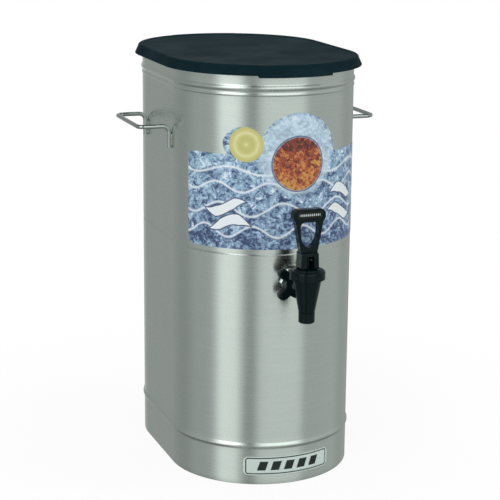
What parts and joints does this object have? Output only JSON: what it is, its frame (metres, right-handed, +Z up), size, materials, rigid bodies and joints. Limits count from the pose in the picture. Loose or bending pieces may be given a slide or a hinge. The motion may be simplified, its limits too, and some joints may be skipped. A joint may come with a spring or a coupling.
{
  "type": "iced tea dispenser",
  "caption": "Oval stainless drink dispenser on a base skirt, with a lift-off lid, wire side handles, a printed front and a self-closing lever tap.",
  "frame": {"origin": "centre of the base on the resting plane", "axes": "+Z up, -Y towards the user, where the tap is, +X to the right seen from the user"},
  "size_m": [0.3172, 0.4195, 0.5224],
  "materials": {
    "stainless_sheet": "fine brushed stainless sheet",
    "steel_wire": "polished stainless wire",
    "machined_steel": "turned stainless",
    "spring_steel": "drawn spring wire",
    "lid_plastic": "moulded polypropylene, fine satin grain",
    "tap_plastic": "moulded, semi-gloss",
    "print_film": "printed vinyl film",
    "badge_plate": "pale printed plate",
    "seal_rubber": "black nitrile",
    "silicone": "translucent white silicone",
    "label_inlay": "black inlay"
  },
  "bodies": {
    "vessel": {"tank_shell": "stainless_sheet", "base_skirt": "stainless_sheet", "tank_floor": "stainless_sheet", "handle_left": "steel_wire", "handle_right": "steel_wire", "front_decal": "print_film", "front_badge": "badge_plate", "shank_tube": "machined_steel", "inner_washer": "seal_rubber", "outer_washer": "seal_rubber", "shank_nut": "machined_steel", "tail_seal": "silicone", "nut_retainer": "spring_steel", "faucet_body": "tap_plastic", "bonnet_seal": "silicone"},
    "lid": {"lid": "lid_plastic"},
    "hand_nut": {"hand_nut": "tap_plastic"},
    "bonnet": {"bonnet": "tap_plastic"},
    "stem": {"valve_stem": "tap_plastic", "pivot_pin": "machined_steel", "seat_cup": "silicone", "spring_washer": "machined_steel", "valve_spring": "spring_steel"},
    "lever": {"lever": "tap_plastic", "lever_label": "label_inlay"}
  },
  "joints": [
    {"name": "lid_lift", "type": "slide", "parent": "vessel", "child": "lid", "axis": [0, 0, 1], "range_m": [0, 0.2]},
    {"name": "hand_nut_turn", "type": "hinge", "parent": "vessel", "child": "hand_nut", "pos_m": [0, -0.187, 0.262], "axis": [0, -1, 0], "continuous": true},
    {"name": "bonnet_turn", "type": "hinge", "parent": "vessel", "child": "bonnet", "pos_m": [0, -0.217, 0.28], "axis": [0, 0, 1], "continuous": true},
    {"name": "stem_lift", "type": "slide", "parent": "bonnet", "child": "stem", "axis": [0, 0, 1], "range_m": [0, 0.0034], "deforming": ["valve_spring"]},
    {"name": "lever_tilt", "type": "hinge", "parent": "stem", "child": "lever", "pos_m": [0, -0.217, 0.298], "axis": [1, 0, 0], "range_deg": [0, 30], "stiffness_Nm_per_rad": 0.35, "springref_deg": -8.59}
  ],
  "couplings": [
    {"joint": "stem_lift", "follows": "lever_tilt", "m_per_rad": 0.0064}
  ]
}
